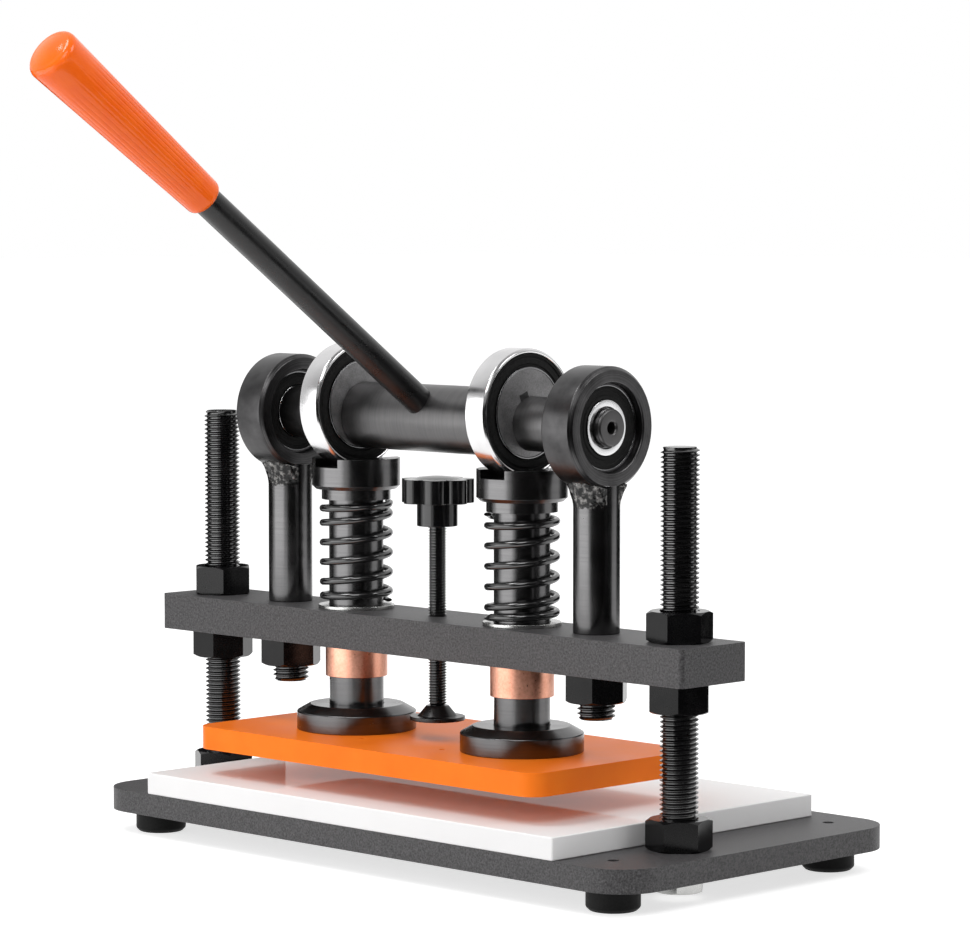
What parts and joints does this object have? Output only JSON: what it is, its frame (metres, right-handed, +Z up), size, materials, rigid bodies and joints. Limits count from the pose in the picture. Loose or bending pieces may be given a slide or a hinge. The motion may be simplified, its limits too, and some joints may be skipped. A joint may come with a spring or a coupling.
{
  "type": "manual die cutting machine",
  "caption": "Bench press with a hand lever: eccentric wheels push sprung plungers and an orange press plate down onto a white cutting board.",
  "frame": {"origin": "on the bench, at the centre of the four bench screw holes in the base", "axes": "+X along the beam to the right, -Y to the front where the lever points, +Z up"},
  "size_m": [0.408, 0.4153, 0.4379],
  "materials": {
    "base_paint": "fine textured charcoal powder coat",
    "foot_rubber": "satin black",
    "black_steel": "black oxide, oiled",
    "zinc_steel": "bright zinc",
    "board_plastic": "smooth white",
    "eye_steel": "machined and blackened",
    "bearing_steel": "ground",
    "seal_rubber": "matt black",
    "bush_copper": "turned copper alloy",
    "shaft_steel": "turned steel",
    "wheel_chrome": "polished",
    "grip_plastic": "orange, finely fluted",
    "press_paint": "orange gloss paint",
    "knob_plastic": "black"
  },
  "bodies": {
    "base": {"base_plate": "base_paint", "rubber_feet": "foot_rubber", "column_left": "black_steel", "column_right": "black_steel", "base_nuts": "black_steel", "column_bolts": "zinc_steel"},
    "board": {"cutting_board": "board_plastic"},
    "crossbeam": {"beam": "base_paint", "beam_nuts_upper": "black_steel", "beam_nuts_lower": "black_steel", "eye_post_left": "eye_steel", "eye_post_right": "eye_steel", "eye_nuts": "black_steel", "eye_outer_race_left": "bearing_steel", "eye_outer_race_right": "bearing_steel", "eye_balls_left": "bearing_steel", "eye_balls_right": "bearing_steel", "eye_seals_left": "seal_rubber", "eye_seals_right": "seal_rubber", "guide_bush_left": "bush_copper", "guide_bush_right": "bush_copper", "spring_washer_left": "zinc_steel", "spring_washer_right": "zinc_steel", "spring_left": "black_steel", "spring_right": "black_steel"},
    "cam": {"camshaft": "shaft_steel", "eccentric_left": "shaft_steel", "eccentric_right": "shaft_steel", "eccentric_keys": "shaft_steel", "eye_inner_race_left": "bearing_steel", "eye_inner_race_right": "bearing_steel", "wheel_inner_race_left": "bearing_steel", "wheel_inner_race_right": "bearing_steel", "lever_rod": "black_steel", "lever_grip": "grip_plastic"},
    "left_wheel": {"wheel_left": "wheel_chrome", "wheel_balls_left": "bearing_steel", "wheel_seals_left": "seal_rubber"},
    "right_wheel": {"wheel_right": "wheel_chrome", "wheel_balls_right": "bearing_steel", "wheel_seals_right": "seal_rubber"},
    "press": {"press_plate": "press_paint", "plate_screws": "zinc_steel", "plunger_left": "black_steel", "plunger_right": "black_steel", "plunger_head_left": "black_steel", "plunger_head_right": "black_steel", "plunger_flange_left": "black_steel", "plunger_flange_right": "black_steel"},
    "pad": {"swivel_pad": "black_steel"},
    "adjuster": {"adjuster_screw": "black_steel", "star_knob": "knob_plastic", "knob_insert": "zinc_steel"}
  },
  "joints": [
    {"name": "board_slide", "type": "slide", "parent": "base", "child": "board", "axis": [0, -1, 0], "range_m": [0, 0.12]},
    {"name": "beam_height", "type": "slide", "parent": "base", "child": "crossbeam", "axis": [0, 0, 1], "range_m": [-0.008, 0.07]},
    {"name": "lever_turn", "type": "hinge", "parent": "crossbeam", "child": "cam", "pos_m": [0, -0.036, 0.2385], "axis": [1, 0, 0], "range_deg": [0, 70]},
    {"name": "wheel_left_spin", "type": "hinge", "parent": "cam", "child": "left_wheel", "pos_m": [-0.064, -0.03832, 0.24425], "axis": [1, 0, 0], "continuous": true},
    {"name": "wheel_right_spin", "type": "hinge", "parent": "cam", "child": "right_wheel", "pos_m": [0.064, -0.03832, 0.24425], "axis": [1, 0, 0], "continuous": true},
    {"name": "press_slide", "type": "slide", "parent": "crossbeam", "child": "press", "axis": [0, 0, -1], "range_m": [0, 0.00597], "stiffness_N_per_m": 20000, "springref_m": -0.02, "deforming": ["spring_left", "spring_right"]},
    {"name": "adjuster_slide", "type": "slide", "parent": "crossbeam", "child": "pad", "axis": [0, 0, -1], "range_m": [-0.0045, 0.009]},
    {"name": "knob_turn", "type": "hinge", "parent": "pad", "child": "adjuster", "pos_m": [0, -0.036, 0.0645], "axis": [0, 0, -1], "range_deg": [-1080, 2160]}
  ],
  "couplings": [
    {"joint": "press_slide", "follows": "lever_turn", "m_per_rad": 0.0048823},
    {"joint": "knob_turn", "follows": "adjuster_slide", "rad_per_m": 4188.8}
  ]
}
